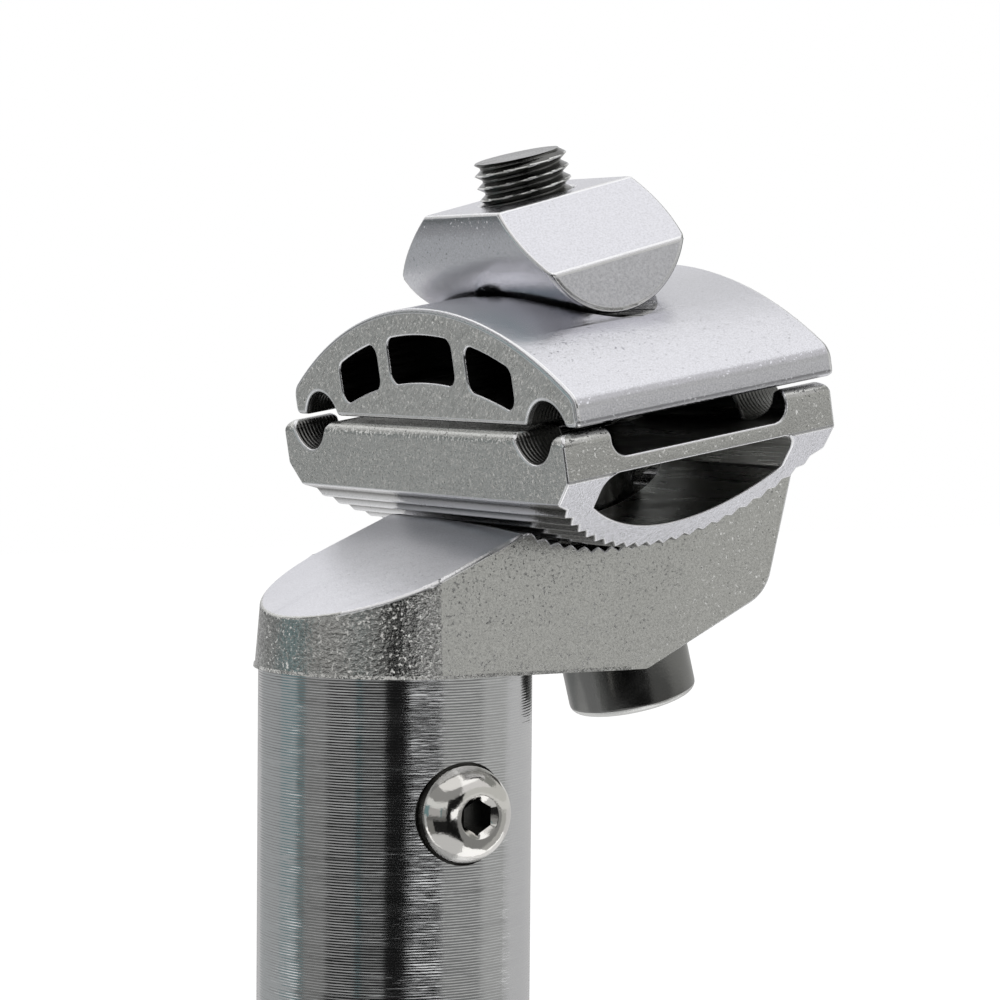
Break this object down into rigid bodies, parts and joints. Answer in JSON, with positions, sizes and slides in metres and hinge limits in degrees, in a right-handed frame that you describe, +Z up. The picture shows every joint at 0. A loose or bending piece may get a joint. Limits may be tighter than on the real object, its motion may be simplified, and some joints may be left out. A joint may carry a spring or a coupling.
{
  "type": "bicycle seatpost",
  "caption": "Bicycle seatpost: 27.2 mm turned tube, setback head with serrated cradle and a one-bolt rail clamp that tilts, held by a barrel nut and a large bolt from below.",
  "frame": {"origin": "on the tube's axis at its lower end", "axes": "+X to the rear of the bicycle (setback), +Z up the post, Y across; the lock screw is on the -Y side"},
  "size_m": [0.0536, 0.055, 0.3253],
  "materials": {
    "turned_aluminium": "satin",
    "cast_aluminium": "satin",
    "nickel_screw": "polished",
    "black_steel": "satin"
  },
  "bodies": {
    "post": {"post_tube": "turned_aluminium", "post_head": "cast_aluminium", "head_lock_screw": "nickel_screw"},
    "clamp": {"lower_rail_clamp": "cast_aluminium", "upper_rail_clamp": "cast_aluminium"},
    "bolt": {"clamp_bolt": "black_steel", "barrel_nut": "cast_aluminium", "swivel_washer": "black_steel"}
  },
  "joints": [
    {"name": "clamp_tilt", "type": "hinge", "parent": "post", "child": "clamp", "pos_m": [0.01598, 0, 0.30654], "axis": [0, -1, 0], "range_deg": [-5, 15]},
    {"name": "bolt_lean", "type": "hinge", "parent": "post", "child": "bolt", "pos_m": [0.02651, 0, 0.27586], "axis": [0, -1, 0], "range_deg": [-1.4, 4]}
  ],
  "couplings": [
    {"joint": "bolt_lean", "follows": "clamp_tilt", "ratio": 0.2556}
  ]
}
